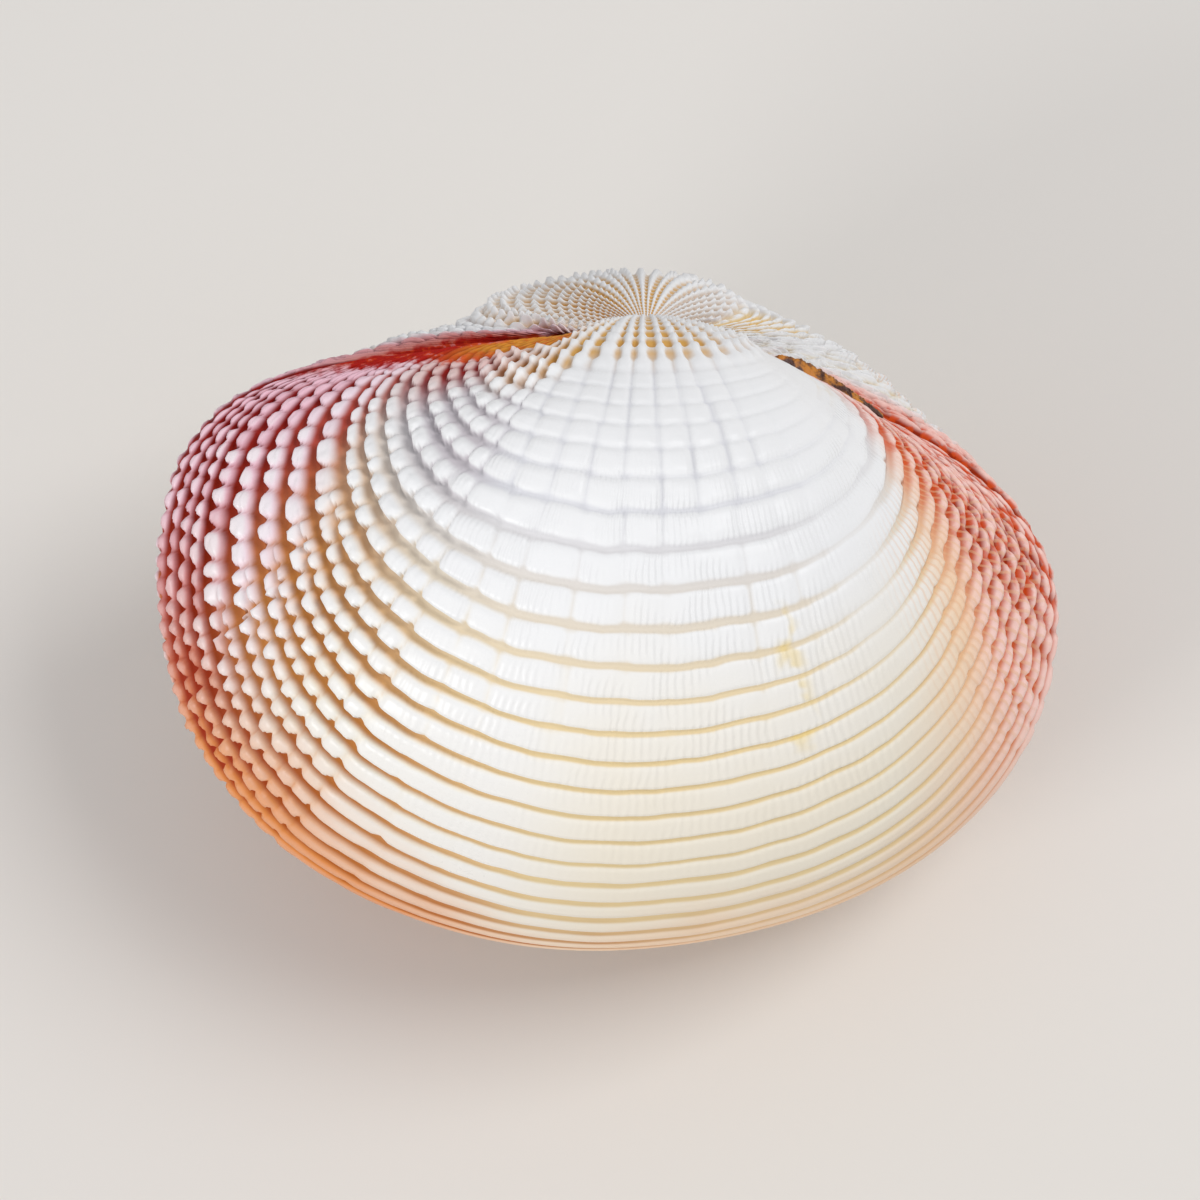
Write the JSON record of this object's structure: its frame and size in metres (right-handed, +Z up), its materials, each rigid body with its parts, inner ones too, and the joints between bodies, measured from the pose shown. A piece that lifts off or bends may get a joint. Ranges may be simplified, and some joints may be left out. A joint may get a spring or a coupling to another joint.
{
  "type": "cockle shell",
  "caption": "Closed bivalve sea shell with concentric ridges crossed by beaded ribs, cream with pink and orange ends and a dark ligament, lying on its side as a beach or still-life prop.",
  "frame": {"origin": "on the ground, under the middle of the shell's box", "axes": "+Z up, +X along the hinge line towards the rear end, +Y towards the hinge side"},
  "size_m": [0.056, 0.0416, 0.0405],
  "materials": {
    "left_valve": "satin shell, white to cream with pink and orange ends",
    "right_valve": "satin shell, white to cream with pink and orange ends",
    "ligament": "dry, cracked, dark amber"
  },
  "bodies": {
    "root": {"left_valve": "left_valve", "right_valve": "right_valve", "ligament": "ligament"}
  },
  "joints": []
}
